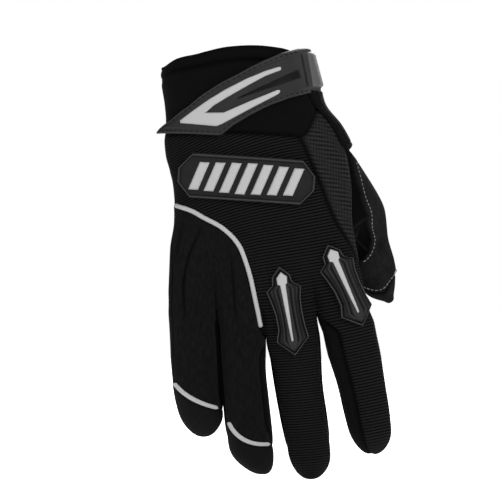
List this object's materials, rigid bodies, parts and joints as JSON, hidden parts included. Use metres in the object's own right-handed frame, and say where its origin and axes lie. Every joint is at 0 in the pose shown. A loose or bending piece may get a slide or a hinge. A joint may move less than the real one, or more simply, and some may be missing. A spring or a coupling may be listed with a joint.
{
  "type": "motocross glove",
  "caption": "Right-hand motocross glove in black fabric and suede with light rubber trim, knuckle guards and a wrist strap.",
  "frame": {"origin": "middle of the wrist opening, where the glove sits on the wrist", "axes": "+Z out of the wrist opening along the forearm, fingers towards -Z, back of the hand towards -Y, thumb towards +X"},
  "size_m": [0.1274, 0.0785, 0.2294],
  "materials": {
    "neoprene": "matte knitted neoprene",
    "ribbed_fabric": "matte ribbed stretch fabric",
    "smooth_fabric": "matte smooth stretch fabric",
    "mesh_fabric": "matte open mesh",
    "suede": "matte synthetic suede",
    "strap_rubber": "satin moulded rubber",
    "black_rubber": "satin moulded rubber",
    "light_rubber": "satin light grey rubber"
  },
  "bodies": {
    "root": {"wrist_cuff": "neoprene", "cuff_hem": "neoprene", "side_tab": "neoprene", "back_panel_ribbed": "ribbed_fabric", "back_panel_smooth": "smooth_fabric", "side_panel_little": "smooth_fabric", "side_panel_ring_outer": "smooth_fabric", "side_panel_ring_inner": "smooth_fabric", "side_panel_middle_outer": "smooth_fabric", "side_panel_middle_inner": "smooth_fabric", "side_panel_index": "smooth_fabric", "mesh_gusset": "mesh_fabric", "palm_panel": "suede", "thumb": "suede", "thumb_tip": "suede", "wrist_strap": "strap_rubber", "strap_end_block": "strap_rubber", "strap_inlay": "light_rubber", "knuckle_guard_middle": "black_rubber", "knuckle_guard_index": "black_rubber", "back_badge": "black_rubber", "guard_arrow_middle": "light_rubber", "guard_arrow_index": "light_rubber", "piping": "light_rubber", "fingertip_strip_little": "light_rubber", "fingertip_strip_ring": "light_rubber", "badge_bar_1": "light_rubber", "badge_bar_2": "light_rubber", "badge_bar_3": "light_rubber", "badge_bar_4": "light_rubber", "badge_bar_5": "light_rubber", "badge_bar_6": "light_rubber", "badge_bar_7": "light_rubber"}
  },
  "joints": []
}
